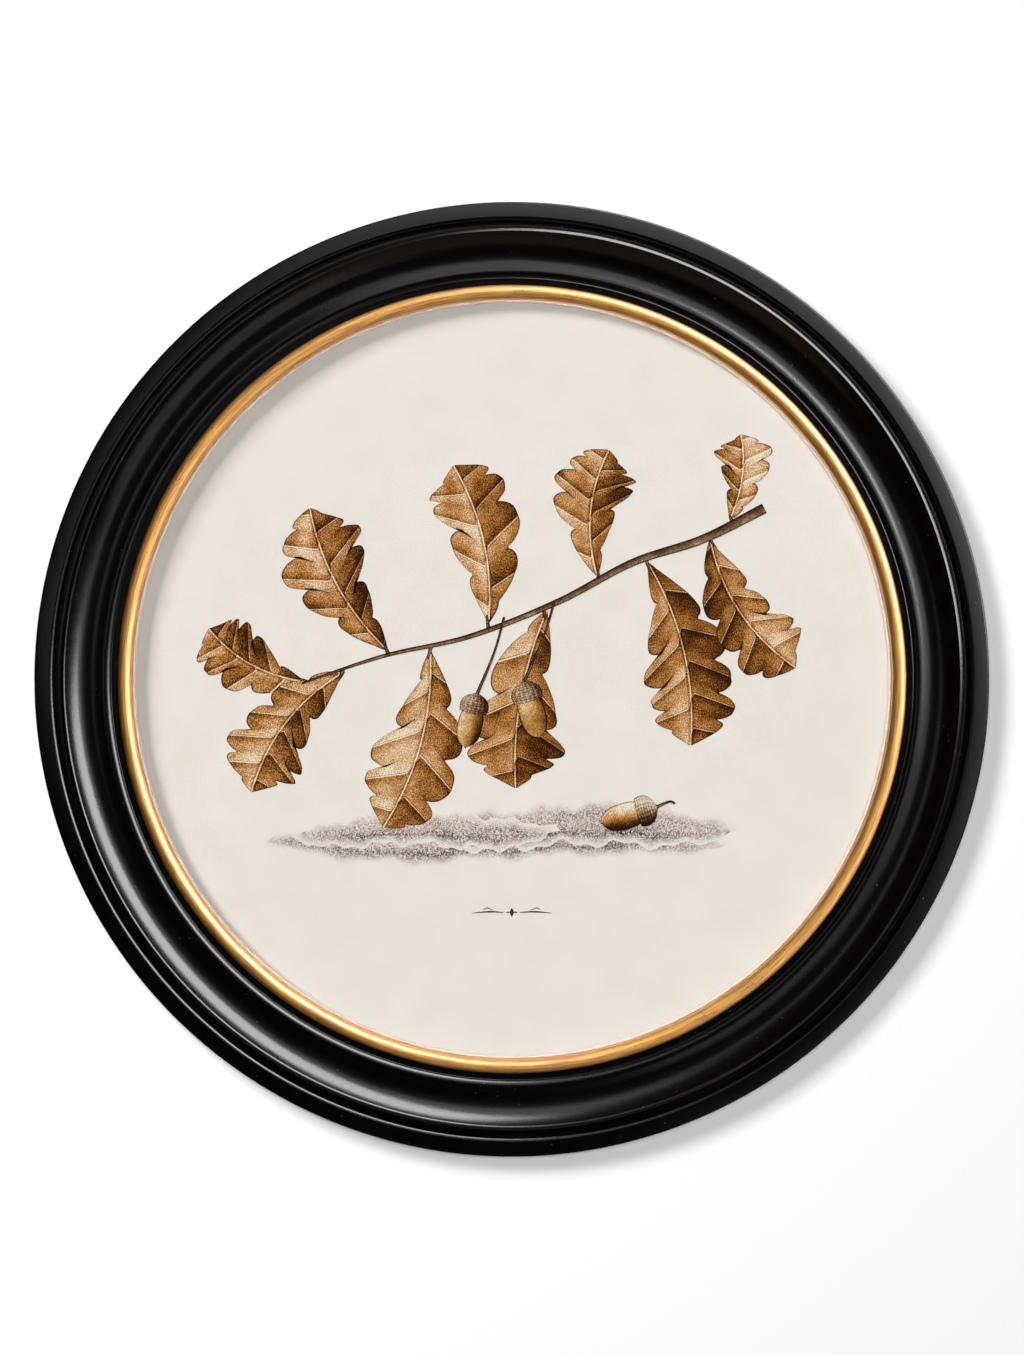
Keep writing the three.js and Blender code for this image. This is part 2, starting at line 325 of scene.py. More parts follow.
def noise(tree, scale, detail=2.0, stretch=(1, 1, 1), roughness=0.5):
    """Noise in the piece's own metres: `scale` cells to the metre, finer by `stretch`."""
    place = node(tree, "ShaderNodeTexCoord").outputs["Object"]
    turned = node(tree, "ShaderNodeMapping", {"Scale": stretch}, Vector=place)
    return node(tree, "ShaderNodeTexNoise", {"Scale": scale, "Detail": detail,
                "Roughness": roughness}, Vector=turned.outputs[0]).outputs[0]


def blend(tree, share, a, b, kind="MIX"):
    """Colour a turning to colour b by share; colours are sockets or sRGB codes."""
    n = node(tree, "ShaderNodeMix", {"data_type": "RGBA", "blend_type": kind})
    for slot, value in ((0, share), (6, a), (7, b)):
        if isinstance(value, str):
            n.inputs[slot].default_value = linear(value)
        elif isinstance(value, float):
            n.inputs[slot].default_value = value
        else:
            tree.links.new(value, n.inputs[slot])
    return n.outputs[2]


def bump(tree, height, millimetres, **links):
    """A surface relief of this depth."""
    return node(tree, "ShaderNodeBump", {"Strength": 1.0, "Distance": millimetres * MM},
                Height=height, **links).outputs[0]


def flecks(tree, per_metre, size, low=0.6):
    """1 inside scattered round flecks: cells of this many to the metre, `size` of a cell wide."""
    place = node(tree, "ShaderNodeTexCoord").outputs["Object"]
    cell = node(tree, "ShaderNodeTexVoronoi", {"Scale": per_metre}, Vector=place)
    return between(tree, cell.outputs["Distance"], size, size * low)


def black_lacquer():
    """Satin black lacquer sprayed over wood: almost black, with soft broad reflections that the
    spray's grain breaks up, and a few pale dust nibs. The grain is really about 0.2 mm and is
    drawn at 1.2 mm so that it shows. The plain outer side is duller. The back and the rebate
    are bare limewood, with its straight grain along each glued block; the wood counts as black
    to bounced light, so that the lights behind the frame don't tint the wall round it."""
    m, t, s = material("black_satin_lacquer")
    bare = between(t, reading(t, "bare"), 0.35, 0.65)
    grain_place = node(t, "ShaderNodeMapping", {"Scale": (0.02, 1.1, 1.0)},
                       Vector=node(t, "ShaderNodeTexCoord").outputs["UV"])
    grain = node(t, "ShaderNodeTexNoise", {"Scale": 1.0, "Detail": 3.0}, Vector=grain_place.outputs[0])
    wood = shades(t, grain.outputs[0], [(0.3, "#a98457"), (0.5, "#c7a678"), (0.7, "#dcc49c")])
    nibs = flecks(t, 170, 0.06)
    spray = noise(t, 900, 1.0)
    black = blend(t, nibs, "#030202", "#34312f")
    bounced = node(t, "ShaderNodeLightPath").outputs["Is Diffuse Ray"]
    shown = calc(t, "SUBTRACT", bare, calc(t, "MULTIPLY", bare, bounced))
    t.links.new(blend(t, shown, black, wood), s.inputs["Base Color"])
    satin = between(t, noise(t, 30, 2.0), 0.3, 0.7, 0.20, 0.23)
    duller = calc(t, "MAXIMUM", calc(t, "MULTIPLY", bare, 0.7),
                    calc(t, "MULTIPLY", reading(t, "side"), 0.62))
    t.links.new(calc(t, "MAXIMUM", satin, duller), s.inputs["Roughness"])
    height = calc(t, "ADD", spray, calc(t, "MULTIPLY", nibs, 1.5))
    t.links.new(bump(t, height, 0.03), s.inputs["Normal"])
    return m


def gilding():
    """Satin gilt paint brushed along the bead over red-brown bole and sealed with shellac: an
    even ochre gold under broad creamy highlights, streaked along its length and rubbed through
    in specks. Shade is painted into the colour towards both feet: near black down the outer side
    into the channel beside the moulding, browner at the inner foot by the quirk. Pale flecks are
    painted glints."""
    m, t, s = material("shellacked_gilt_paint")
    from_crest = reading(t, "from_crest")
    # Painted shade: the stops darken the gold down both flanks, near black at the outer foot into the
    # channel and browner at the inner foot.
    stops = [(-8.0, "#120a05"), (-5.2, "#1c0f07"), (-4.7, "#44270f"), (-4.1, "#95631c"),
             (-3.4, "#cb8f2c"), (-2.5, "#e4a336"), (3.4, "#e4a336"), (4.3, "#d99c48"), (4.9, "#c58f52")]
    paint = shades(t, between(t, from_crest, -9, 9), [((w + 9) / 18, c) for w, c in stops])
    round_place = node(t, "ShaderNodeSeparateXYZ", None,
                       Vector=node(t, "ShaderNodeTexCoord").outputs["UV"]).outputs[0]
    stroke_place = node(t, "ShaderNodeCombineXYZ", None, X=calc(t, "MULTIPLY", round_place, 0.05),
                        Y=calc(t, "MULTIPLY", from_crest, 1.1))
    strokes = node(t, "ShaderNodeTexNoise", {"Scale": 1.0, "Detail": 3.0},
                   Vector=stroke_place.outputs[0])
    rubbed = flecks(t, 240, 0.11)
    paint = blend(t, between(t, strokes.outputs[0], 0.40, 0.60, 0.0, 0.8), paint, "#b59a78", "MULTIPLY")
    # Painted glints: pale flecks stand in for small highlights sparkling on the gilt.
    paint = blend(t, flecks(t, 170, 0.06), paint, "#f2d49a")
    paint = blend(t, rubbed, paint, "#8a5a38", "MULTIPLY")
    t.links.new(paint, s.inputs["Base Color"])
    t.links.new(between(t, strokes.outputs[0], 0.3, 0.7, 0.52, 0.62), s.inputs["Roughness"])
    relief = calc(t, "SUBTRACT", strokes.outputs[0], rubbed)
    t.links.new(bump(t, relief, 0.012), s.inputs["Normal"])
    s.inputs["Metallic"].default_value = 0.2
    s.inputs["Coat Weight"].default_value = 1.0
    s.inputs["Coat Roughness"].default_value = 0.32
    return m


def pale_gesso():
    """Bare gesso along the sight edge: chalky, rubbed smooth and a little pinkish from the bole.
    In the quirk beside the bead, shade is painted into the colour as a brown line."""
    m, t, s = material("bare_gesso")
    rubbed = between(t, noise(t, 260, 3.0), 0.3, 0.7)
    gesso = blend(t, rubbed, "#d9cabd", "#ccb9aa")
    # Painted shade: the quirk's points turn brown where shade falls between the bead and the edge.
    t.links.new(blend(t, reading(t, "in_quirk"), gesso, "#c2976a"), s.inputs["Base Color"])
    t.links.new(bump(t, noise(t, 900, 2.0), 0.01), s.inputs["Normal"])
    s.inputs["Roughness"].default_value = 0.85
    s.inputs["Specular IOR Level"].default_value = 0.2
    return m


def paper_stock(tree):
    """The colour of aged rag paper and its relief: cloudy mottling over a faint woven felt mark."""
    clouds = noise(tree, 55, 4.0)
    fibres = noise(tree, 900, 3.0)
    toned = blend(tree, between(tree, clouds, 0.3, 0.7, 0.0, 1.0), "#ebe2d9", "#f0e8e2")
    toned = blend(tree, between(tree, fibres, 0.35, 0.75, 0.0, 0.35), toned, "#f6eee5")
    weave = calc(tree, "ADD", noise(tree, 420, 1.0, (1, 1, 5)), noise(tree, 420, 1.0, (5, 1, 1)))
    return toned, bump(tree, calc(tree, "ADD", weave, fibres), 0.007)


def aged_paper():
    """Uncoated rag paper, aged to a warm off-white."""
    m, t, s = material("aged_rag_paper")
    colour, relief = paper_stock(t)
    t.links.new(colour, s.inputs["Base Color"])
    t.links.new(relief, s.inputs["Normal"])
    s.inputs["Roughness"].default_value = 0.92
    s.inputs["Specular IOR Level"].default_value = 0.1
    return m


def clear_glass():
    """Picture glass, 2 mm float: clear, with a faint reflection at a slant. Light on its way to
    the paper passes straight through, as it does through a thin flat pane."""
    m, t, s = material("clear_float_glass")
    s.inputs["Base Color"].default_value = linear("#fbfdfc")
    s.inputs["Roughness"].default_value = 0.0
    s.inputs["Transmission Weight"].default_value = 1.0
    path = node(t, "ShaderNodeLightPath")
    passing = calc(t, "MAXIMUM", path.outputs["Is Shadow Ray"], path.outputs["Is Diffuse Ray"])
    through = node(t, "ShaderNodeBsdfTransparent")
    pane = node(t, "ShaderNodeMixShader", None, _0=passing, _1=s.outputs[0], _2=through.outputs[0])
    t.links.new(pane.outputs[0], t.nodes["Material Output"].inputs[0])
    return m


def hardboard():
    """Pressed wood fibre, 3 mm: mid brown, matt, matted with fine pale and dark fibres, drawn
    three times their real breadth so that they show."""
    m, t, s = material("pressed_hardboard")
    clouds = noise(t, 22, 4.0)
    board = shades(t, clouds, [(0.3, "#8d6844"), (0.5, "#98724c"), (0.7, "#a27b54")])
    along, across = noise(t, 620, 2.0, (0.2, 1, 1)), noise(t, 620, 2.0, (1, 1, 0.2))
    board = blend(t, between(t, along, 0.52, 0.72, 0.0, 0.45), board, "#c7a076")
    board = blend(t, between(t, across, 0.54, 0.74, 0.0, 0.5), board, "#5a3f28")
    t.links.new(board, s.inputs["Base Color"])
    t.links.new(between(t, clouds, 0.3, 0.7, 0.72, 0.86), s.inputs["Roughness"])
    t.links.new(bump(t, calc(t, "ADD", along, across), 0.08), s.inputs["Normal"])
    return m


def zinc_steel():
    """Strip steel, zinc plated: cool grey with a faint crystal spangle and rolling lines."""
    m, t, s = material("zinc_plated_steel")
    place = node(t, "ShaderNodeTexCoord").outputs["Object"]
    spangle = node(t, "ShaderNodeTexVoronoi", {"Scale": 420}, Vector=place).outputs["Color"]
    shade = between(t, spangle, 0.1, 0.9)
    t.links.new(shades(t, shade, [(0.0, "#a4a8ab"), (1.0, "#cdd0d2")]), s.inputs["Base Color"])
    rolled = noise(t, 2600, 2.0, (0.06, 1, 1))
    polish = calc(t, "ADD", between(t, shade, 0, 1, 0.26, 0.36), between(t, rolled, 0.3, 0.7, 0.0, 0.1))
    t.links.new(polish, s.inputs["Roughness"])
    t.links.new(bump(t, rolled, 0.004), s.inputs["Normal"])
    s.inputs["Metallic"].default_value = 1.0
    return m


def moulded_rubber():
    """Black moulded rubber with a bloom of dust: matt, slightly grainy, greyer in patches."""
    m, t, s = material("moulded_rubber")
    bloom = between(t, noise(t, 260, 3.0), 0.4, 0.7)
    t.links.new(blend(t, bloom, "#171717", "#33322f"), s.inputs["Base Color"])
    t.links.new(between(t, bloom, 0, 1, 0.6, 0.85), s.inputs["Roughness"])
    t.links.new(bump(t, noise(t, 1800, 2.0), 0.02), s.inputs["Normal"])
    return m


def pale_floor():
    """A pale matt floor, evenly lit as far as it goes by a little light of its own."""
    m, t, s = material("pale_floor")
    s.inputs["Base Color"].default_value = linear("#e6e4e0")
    s.inputs["Emission Color"].default_value = linear("#e6e4e0")
    s.inputs["Emission Strength"].default_value = 0.94
    s.inputs["Roughness"].default_value = 0.95
    s.inputs["Specular IOR Level"].default_value = 0.0
    t.links.new(bump(t, noise(t, 300, 2.0), 0.02), s.inputs["Normal"])
    return m


def dress(piece, finish):
    """Gives a piece one material in place of any it has."""
    piece.data.materials.clear()
    piece.data.materials.append(finish)


# ---- artwork -------------------------------------------------------------------------------
FILM = 0.02  # thickness of the colour, mm


def inked(name, shapes):
    """Thin films of colour on the paper as one piece of closed slabs. Each shape is (points,
    level, fields): a grid of (x, z) millimetres from the ring's axis, its height over the paper
    in millimetres, and the numbers stored at its points."""
    verts, faces, start = [], [], 0
    stored = {key: [] for key in shapes[0][2]}
    for points, level, fields in shapes:
        m, n = points.shape[:2]
        index = np.arange(m * n).reshape(m, n)
        for height in (level, level - FILM):
            y = np.full((m, n), PRINT_FACE - height * MM)
            place = [points[..., 0] * MM, y, points[..., 1] * MM + AXIS_Z]
            verts.append(np.stack(place, 2).reshape(-1, 3))
        a, b, c, d = index[:-1, :-1], index[1:, :-1], index[1:, 1:], index[:-1, 1:]
        front = np.stack([a, b, c, d], 2).reshape(-1, 4)
        rim = np.concatenate([index[0], index[1:, -1], index[-1, -2::-1], index[-2:0:-1, 0]])
        far = np.roll(rim, -1)
        walls = np.stack([rim, far, far + m * n, rim + m * n], 1)
        faces += [front + start, front[:, ::-1] + m * n + start, walls + start]
        start += 2 * m * n
        for key, value in fields.items():
            value = np.broadcast_to(value, (m, n)).ravel()
            stored[key] += [value, value]
    verts, faces = np.concatenate(verts), np.concatenate(faces)
    corner = verts[faces[:, :3]]
    first = np.cross(corner[0, 1] - corner[0, 0], corner[0, 2] - corner[0, 1])
    if first[1] > 0:
        faces = faces[:, ::-1]
    piece = new_piece(name, verts, faces, smooth=30)
    for key, value in stored.items():
        per_point(piece, key, np.concatenate(value))
    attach(piece, "root")
    return piece


def along_curve(points, steps):
    """A smooth path through control points (Catmull-Rom), and its unit normals."""
    p = np.asarray(points, float)
    p = np.concatenate([2 * p[:1] - p[1:2], p, 2 * p[-1:] - p[-2:-1]])
    t = np.linspace(0, len(p) - 3 - 1e-9, steps)
    i = t.astype(int)
    f = (t - i)[:, None]
    a, b, c, d = (p[i + k] for k in range(4))
    path = 0.5 * (2 * b + (c - a) * f + (2 * a - 5 * b + 4 * c - d) * f**2
                  + (3 * b - a - 3 * c + d) * f**3)
    slope = np.gradient(path, axis=0)
    slope /= np.hypot(*slope.T)[:, None]
    return path, np.stack([-slope[:, 1], slope[:, 0]], 1)


def stroke(points, widths, level, tone, steps=40):
    """A brush stroke along a path: its width in mm runs through `widths`."""
    path, side = along_curve(points, steps)
    half = np.interp(np.linspace(0, 1, steps), np.linspace(0, 1, len(widths)), widths)[:, None] / 2
    v = np.linspace(-1, 1, 7)[None]
    grid = path[:, None] + side[:, None] * (v * half)[..., None]
    round_tone = tone + 0.28 * v - 0.2 * np.abs(v) ** 3
    return grid, level, {"tone": round_tone + 0 * half, "from_edge": (1 - np.abs(v)) * half,
                         "from_rib": v * half, "lobe": 0 * v * half, "gap": 0.0}


def leaf(base, tip, width, bend, seed, level, tone=0.5):
    """A round-lobed oak leaf. `u` runs along the rib and `v` across it; half the width is a
    smooth blade outline less a notch at each half turn of `lobe`, and both lean forwards."""
    rng = np.random.default_rng(seed)
    base, tip = np.asarray(base, float), np.asarray(tip, float)
    length = np.hypot(*(tip - base))
    ahead = (tip - base) / length
    aside = np.array([-ahead[1], ahead[0]])
    u = np.linspace(0, 1, 101)[:, None]
    v = np.linspace(-1, 1, 25)[None]
    bow = bend * length
    rib = base + u * (tip - base) + 4 * bow * (u * (1 - u)) * aside
    turn = 4 * bend * (1 - 2 * u)
    normal = (aside - turn * ahead) / np.hypot(1, turn)
    forward = (ahead + turn * aside) / np.hypot(1, turn)
    side = np.tanh(v / 0.05)
    count = 4.6 + rng.uniform(-0.3, 0.3)
    lobe = count * (0.86 * u + 0.14 * u**2) + 0.24 * side + 0.16 * np.sin(5 * u + seed) + 0.25
    blade = np.sin(np.pi * u**0.9) ** 0.72 * (0.44 + 0.72 * u - 0.1 * u**2)
    notch = 1 - (1 - (2 * np.abs(lobe - np.round(lobe))) ** 2.4) ** 0.55
    notch = notch * np.sin(np.pi * u**0.8) ** 0.35
    uneven = 1 + 0.10 * np.sin(2.1 * lobe + seed * 1.7) + 0.008 * np.sin(17 * lobe + seed)
    half = width / 2 * np.maximum(blade * uneven * (1 - 0.52 * notch), 0.012)
    lean = np.abs(v) * (0.50 * width / 2 * blade + 0.16 * half) * (1 - u**4)
    grid = rib[:, None] + normal[:, None] * (v * half)[..., None] + forward[:, None] * lean[..., None]
    curl = 0.16 * side * (1 if seed % 2 else -1) + 0.10 * np.sin(3 * u + seed) - 0.12 * np.abs(v)
    worn = 0.10 * np.sin(7 * u + 3 * v + seed) * np.sin(4 * v - 5 * u)
    return grid, level, {"tone": tone + curl + worn, "from_edge": (1 - np.abs(v)) * half,
                         "from_rib": v * half, "lobe": lobe + 0 * v, "gap": length / count}


def acorn(base, tip, width, level, nut=True):
    """A nut or its cup: an egg-shaped outline, shaded as a round solid lit from the upper left."""
    base, tip = np.asarray(base, float), np.asarray(tip, float)
    u, v = np.linspace(0, 1, 41)[:, None], np.linspace(-1, 1, 21)[None]
    ahead = (tip - base) / np.hypot(*(tip - base))
    aside = np.array([-ahead[1], ahead[0]])
    if nut:
        half = width / 2 * np.clip(1 - np.abs(1.9 * u - 0.85) ** 2.6, 0, 1) ** 0.5
        half = np.maximum(half, 0.45 * np.exp(-((u - 1) / 0.05) ** 2) + 0.12)
    else:
        half = width / 2 * np.maximum((1 - (1 - u) ** 3) ** 0.55 * (1 - 0.12 * u**4), 0.05)
    sag = (0.16 if nut else 0.10) * width * (1 - v**2) * (0.5 - u if nut else 1 - 2 * u) * 0.5
    grid = (base + u * (tip - base))[:, None] + aside * (v * half)[..., None] - ahead * sag[..., None]
    lit = -0.72 * (aside @ [0.55, -0.83]) * v + 0.30 * (1 - v**2)
    scales = 0.0 if nut else 0.26 * np.cos(21 * v + 9 * u * 3.1) * np.cos(21 * v - 9 * u * 3.1)
    tone = 0.36 + 0.85 * lit + scales - 0.16 * u * nut
    return grid, level, {"tone": tone, "from_edge": (1 - np.abs(v)) * half, "from_rib": v * half,
                         "lobe": 0.0, "gap": 0.0}


def watercolour(name, washes, grain=0.34, veins=False, cover=1.0):
    """Hand colouring over a crayon drawing. The stored tone picks a wash from dark to light,
    cloudy where the colour pooled and grainy as the paper took the crayon; the wash gathers
    dark at its edge. A leaf's ribs are left pale with a dark line beside each."""
    m, t, s = material(name)
    paper, relief = paper_stock(t)
    tone = reading(t, "tone")
    edge = reading(t, "from_edge")
    pools = between(t, noise(t, 130, 3.0), 0.3, 0.7, -0.13, 0.13)
    crayon = between(t, noise(t, 2300, 1.5, (1, 1, 0.55)), 0.32, 0.68, -grain, grain)
    parts = [pools, crayon, between(t, edge, 0.12, 0.75, -0.55, 0.0)]
    if veins:
        rib = calc(t, "ABSOLUTE", reading(t, "from_rib"), 0)
        lobe = reading(t, "lobe")
        vein = calc(t, "MULTIPLY", calc(t, "PINGPONG", lobe, 0.5), reading(t, "gap"))
        after = calc(t, "FRACT", calc(t, "ADD", lobe, 0.035), 0)
        nearest = calc(t, "MINIMUM", rib, vein)
        parts += [between(t, after, 0.0, 0.30, -0.34, 0.0), between(t, after, 0.5, 1.0, 0.0, 0.20),
                  between(t, rib, 0.5, 1.7, -0.30, 0.0), between(t, nearest, 0.22, 0.5, 0.75, 0.0)]
    for part in parts:
        tone = calc(t, "ADD", tone, part)
    colour = shades(t, tone, washes)
    if cover < 1:
        open_grain = between(t, noise(t, 1500, 2.0), 0.34, 0.50)
        share = calc(t, "MULTIPLY", between(t, edge, 0.0, 5.0), open_grain)
        colour = blend(t, share, paper, colour)
    t.links.new(colour, s.inputs["Base Color"])
    t.links.new(relief, s.inputs["Normal"])
    s.inputs["Roughness"].default_value = 0.9
    s.inputs["Specular IOR Level"].default_value = 0.1
    return m


LEAF_WASHES = [(0.0, "#2c1607"), (0.16, "#613410"), (0.34, "#8f5a1c"), (0.52, "#bd7f43"),
               (0.7, "#d4a06c"), (0.88, "#e8cfaa"), (1.0, "#efe3cf")]
WOOD_WASHES = [(0.0, "#1f120a"), (0.3, "#4c3220"), (0.6, "#8a6a4c"), (0.85, "#c4a988"),
               (1.0, "#e2d3bd")]
NUT_WASHES = [(0.0, "#2a1708"), (0.22, "#6b3f12"), (0.45, "#a9722f"), (0.68, "#d8ac74"),
              (0.92, "#f6eee0")]
EARTH_WASHES = [(0.0, "#2b2322"), (0.25, "#6d5d5c"), (0.5, "#a38a88"), (0.72, "#c9b0a8"),
                (1.0, "#e0cfc4")]

TWIG = [(130, 88), (98, 72), (62, 60), (24, 40), (-22, 22), (-66, 12), (-108, -2)]
LEAVES = [  # base, tip, width, bend
    ((-107, -1), (-156, 26), 46, 0.10), ((-86, 4), (-134, -58), 52, -0.10),
    ((-64, 15), (-104, 88), 56, 0.08), ((-42, 15), (-66, -76), 60, 0.08),
    ((-12, 29), (-30, 110), 56, -0.08), ((18, 35), (2, -56), 62, -0.06),
    ((44, 53), (50, 118), 50, 0.10), ((70, 60), (92, -34), 60, 0.08),
    ((102, 72), (146, 6), 50, -0.10), ((112, 82), (118, 126), 36, -0.08)]
ACORNS = [  # base, tip, width, start of the stalk
    ((6, -2), (14, -30), 15, (22, 40)), ((-18, -8), (-24, -35), 14, (-4, 32)),
    ((74, -66), (46, -74), 15, (84, -64))]
GROUND = [(-8, -84, 118, 9), (30, -76, 84, 10), (-44, -78, 66, 8)]  # x, z, half length, half depth
RULE_STROKES = [  # points, widths, steps: half of the small ornament under the ground
    ([(20.5, -120.4), (12, -119.7), (4.2, -120)], [0.25, 0.9, 0.4], 16),
    ([(3.0, -120), (1.4, -120)], [0.3, 0.9], 6),
    ([(15, -118.6), (12.6, -117.8), (9.5, -119)], [0.2, 0.6, 0.2], 12)]
RULE_INK = [(0.0, "#2b2522"), (1.0, "#5d534c")]


def artwork():
    """A fruiting oak sprig lying along a falling diagonal, over a strip of granular ground."""
    leaves, wood, nuts = [], [], []
    twig = along_curve(TWIG, 120)[0]
    for k, (base, tip, width, bend) in enumerate(LEAVES):
        level = 0.06 + 0.012 * k
        leaves.append(leaf(base, tip, width, bend, k + 3, level, 0.46 + 0.05 * np.sin(2.3 * k)))
        start = twig[np.argmin(np.hypot(*(twig - base).T))]
        inner = np.asarray(base) + 0.05 * (np.asarray(tip) - np.asarray(base))
        wood.append(stroke([start, inner], [2.4, 1.1], level + 0.006, 0.5, 6))
    wood.append(stroke(TWIG, [5.4, 4.6, 3.9, 3.3, 2.6, 2.0, 1.1], 0.20, 0.45, 120))
    for base, tip, width, hang in ACORNS:
        base, tip = np.asarray(base, float), np.asarray(tip, float)
        ahead = (tip - base) / np.hypot(*(tip - base))
        wood.append(stroke([hang, (base + hang) / 2 + 2, base], [1.3, 1.2, 1.8], 0.215, 0.5, 24))
        nuts.append(acorn(base + 6.5 * ahead, tip, width * 0.92, 0.225))
        wood.append(acorn(base - 0.5 * ahead, base + 9.5 * ahead, width * 1.12, 0.24, nut=False))
    sprig = inked("printed_leaves", leaves)
    dress(sprig, watercolour("leaf_wash", LEAF_WASHES, veins=True))
    dress(inked("printed_twig", wood), watercolour("bark_wash", WOOD_WASHES, 0.25))
    dress(inked("printed_acorns", nuts), watercolour("acorn_wash", NUT_WASHES, 0.16))

    ground = []
    for k, (x, z, long, deep) in enumerate(GROUND):
        u, v = np.linspace(-1, 1, 121)[:, None], np.linspace(-1, 1, 17)[None]
        half = deep * (1 - np.abs(u) ** 3) ** 0.6 + 0.6
        ragged = 1 + 0.16 * np.sin(17 * u + 5 * k) + 0.10 * np.sin(41 * u + 2 * k + 3 * v)
        grid = np.stack([x + long * u + 3 * v, z + v * half * ragged + 2 * np.sin(4 * u + k)], 2)
        cloudy = np.sin(9 * u + k) * np.cos(3 * v + k)
        shade = 0.66 - 0.42 * np.exp(-((v + 0.55) / 0.35) ** 2) + 0.12 * cloudy
        edge = np.minimum((1 - np.abs(v)) * half, (1 - np.abs(u)) * long)
        ground.append((grid, 0.03 + 0.008 * k, {"tone": shade, "from_edge": edge}))
    dress(inked("printed_ground", ground), watercolour("earth_wash", EARTH_WASHES, 0.5, cover=0.9))

    rule = [stroke([(0, -117.7), (0, -120), (0, -122.3)], [0.15, 2.6, 0.15], 0.035, 0.1, 13)]
    for way in (-1, 1):
        for points, widths, steps in RULE_STROKES:
            rule.append(stroke([(way * x, z) for x, z in points], widths, 0.03, 0.1, steps))
    dress(inked("printed_rule", rule), watercolour("brown_black_ink", RULE_INK, 0.3))


# ---- pieces --------------------------------------------------------------------------------
def stands_for(piece, cad_node, finish):
    """A new piece on the one body, in place of a CAD node."""
    dress(piece, finish)
    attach(piece, "root")
    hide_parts(cad_node)


lacquer = black_lacquer()
section = moulding_section()
unpainted = np.isin(np.arange(len(section)), [0, len(section) - 2, len(section) - 1])
moulding = turned_ring("turned_moulding", section, bare=unpainted, side=section[:, 0] > OUTER - 0.01)
stands_for(moulding, "frame_moulding", lacquer)

bead = turned_ring("gilded_bead", bead_section(), from_crest=across_bead(bead_section()))
stands_for(bead, "gilt_slip", gilding())

flange = turned_ring("slip_flange", flange_section(), bare=np.zeros(len(flange_section())))
stands_for(flange, "gilt_slip", lacquer)

edge_section, in_quirk = sight_edge_section()
sight_edge = turned_ring("gesso_sight_edge", edge_section, in_quirk=in_quirk)
stands_for(sight_edge, "gilt_slip", pale_gesso())

dress(NODES["glazing"], clear_glass())
dress(NODES["print_sheet"], aged_paper())
artwork()
dress(NODES["backing_board"], hardboard())
steel = zinc_steel()
for name, thing in NODES.items():
    if name.startswith(("framers_point", "hanger")):
        dress(thing, steel)
rubber = moulded_rubber()
for name in ("bumper_left", "bumper_right"):
    dress(NODES[name], rubber)


# ---- stage and light -----------------------------------------------------------------------
def stage_plane(name, corners):
    """A flat backdrop that isn't part of the object. Only the camera sees it, so that it neither
    colours the paper nor shows in the glass."""
    mesh = bpy.data.meshes.new(name)
    mesh.from_pydata(corners, [], [(0, 1, 2, 3)])
    plane = bpy.data.objects.new(name, mesh)
    bpy.context.scene.collection.objects.link(plane)
    plane.visible_glossy = plane.visible_diffuse = plane.visible_transmission = False
    return plane


WALL_HALF, FLOOR_HALF = 2.0, 20.0
WALL_Y = 0.0005  # just behind the hanger and bumpers
FLOOR_Z = AXIS_Z - 1.25
wall = stage_plane("wall", [(-WALL_HALF, WALL_Y, FLOOR_Z), (WALL_HALF, WALL_Y, FLOOR_Z),
                            (WALL_HALF, WALL_Y, WALL_HALF), (-WALL_HALF, WALL_Y, WALL_HALF)])
floor = stage_plane("floor", [(x * FLOOR_HALF, y * FLOOR_HALF, FLOOR_Z)
                              for x, y in ((-1, -1), (1, -1), (1, 1), (-1, 1))])


def wall_paint():
    """White wall seen from the front only; from behind it lets the view through."""
    m, t, s = material("white_wall")
    s.inputs["Base Color"].default_value = linear("#f4f4f4")
    s.inputs["Roughness"].default_value = 1.0
    s.inputs["Specular IOR Level"].default_value = 0.0
    clear = node(t, "ShaderNodeBsdfTransparent")
    side = node(t, "ShaderNodeNewGeometry")
    mix = node(t, "ShaderNodeMixShader", None, _0=side.outputs["Backfacing"])
    t.links.new(s.outputs[0], mix.inputs[1])
    t.links.new(clear.outputs[0], mix.inputs[2])
    t.links.new(mix.outputs[0], t.nodes["Material Output"].inputs[0])
    return m


dress(wall, wall_paint())
dress(floor, pale_floor())
wall.visible_shadow = False  # lets the lights behind it reach the back

FRAME_MIDDLE = np.array([0.0, -0.5 * DEPTH * MM, AXIS_Z])


def studio_light(name, azimuth, off_axis, distance, width, height, radiance, seen_by, roll=0):
    """An area light aimed at the middle of the frame. Azimuth turns from +X towards +Z, seen
    from the front; off_axis is the angle away from the straight-on line. Width runs round the
    frame's axis and height towards it, until roll turns the light's far end outwards. Power is
    radiance times pi times the light's area."""
    a, o, tip = np.radians([azimuth, off_axis, roll])
    away = np.array([np.cos(a) * np.sin(o), -np.cos(o), np.sin(a) * np.sin(o)])
    outwards = np.array([np.cos(a) * np.cos(o), np.sin(o), np.sin(a) * np.cos(o)])
    along = np.cos(tip) * np.array([-np.sin(a), 0, np.cos(a)]) + np.sin(tip) * outwards
    data = bpy.data.lights.new(name, "AREA")
    data.shape = "RECTANGLE"
    data.size, data.size_y = width, height
    data.energy = radiance * np.pi * width * height
    lamp = bpy.data.objects.new(name, data)
    turn = np.stack([along, np.cross(away, along), away], 1)
    lamp.rotation_euler = Matrix(turn.tolist()).to_euler()
    lamp.location = FRAME_MIDDLE + away * distance
    bpy.context.scene.collection.objects.link(lamp)
    lamp.visible_camera = False
    for ray in ("diffuse", "glossy", "transmission"):
        setattr(lamp, "visible_" + ray, ray in seen_by)
    return lamp


def only_lights(lamp, things):
    """Limits what a light falls on to the things given."""
    group = bpy.data.collections.new(lamp.name + "_falls_on")
    for thing in things:
        group.objects.link(thing)
    lamp.light_linking.receiver_collection = group


